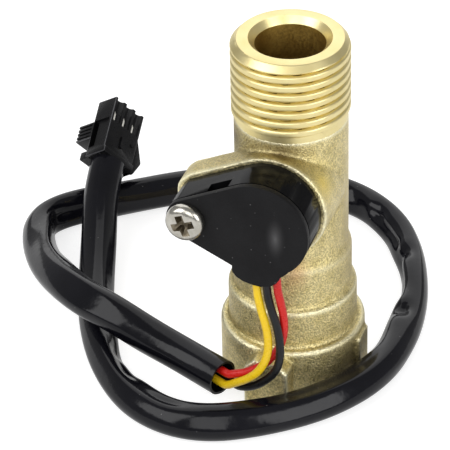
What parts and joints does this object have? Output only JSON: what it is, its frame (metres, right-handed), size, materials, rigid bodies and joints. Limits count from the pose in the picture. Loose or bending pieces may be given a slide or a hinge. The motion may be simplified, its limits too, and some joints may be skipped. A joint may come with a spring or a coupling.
{
  "type": "water flow sensor",
  "caption": "Brass turbine water flow sensor: threaded outlet, clipped-on black Hall sensor head, colour leads in a black sleeve ending in a small plug.",
  "frame": {"origin": "centre of the inlet's end face, on the flow axis", "axes": "+Z along the flow axis from inlet to outlet, -Y towards the face of the sensor head, +X to its right"},
  "size_m": [0.0829, 0.0842, 0.0685],
  "materials": {
    "cast_brass": "sand-cast skin with machined thread and faces",
    "spring_steel": "plain",
    "screen_steel": "plain",
    "stator_plastic": "moulded",
    "liner_plastic": "moulded",
    "bush_plastic": "moulded",
    "rotor_plastic": "moulded",
    "seal_rubber": "moulded",
    "magnet_ferrite": "sintered",
    "shaft_steel": "ground",
    "clip_plastic": "satin, smoother on the rim",
    "board_laminate": "solder mask",
    "chip_epoxy": "moulded",
    "capacitor_ceramic": "fired",
    "nickel_steel": "nickel plated",
    "yellow_pvc": "extruded",
    "black_pvc": "extruded",
    "red_pvc": "extruded",
    "sleeve_pvc": "soft glossy tubing",
    "plug_nylon": "moulded",
    "tinned_bronze": "tinned"
  },
  "bodies": {
    "housing": {"flow_body": "cast_brass", "retaining_ring": "spring_steel", "filter_screen": "screen_steel", "inlet_stator": "stator_plastic", "insert_o_ring": "seal_rubber", "cartridge_tube": "liner_plastic", "lower_bush": "bush_plastic", "upper_bush": "bush_plastic", "outlet_spider": "stator_plastic", "sensor_base": "clip_plastic", "sensor_cover": "clip_plastic", "hall_board": "board_laminate", "hall_chip": "chip_epoxy", "board_capacitor": "capacitor_ceramic", "clamp_screw": "nickel_steel", "yellow_lead": "yellow_pvc", "black_lead": "black_pvc", "red_lead": "red_pvc", "lead_sleeve": "sleeve_pvc", "plug_housing": "plug_nylon", "plug_contacts": "tinned_bronze"},
    "rotor": {"turbine_rotor": "rotor_plastic", "ring_magnet": "magnet_ferrite", "rotor_shaft": "shaft_steel"}
  },
  "joints": [
    {"name": "rotor_spin", "type": "hinge", "parent": "housing", "child": "rotor", "pos_m": [0, 0, 0.041], "axis": [0, 0, 1], "continuous": true}
  ]
}
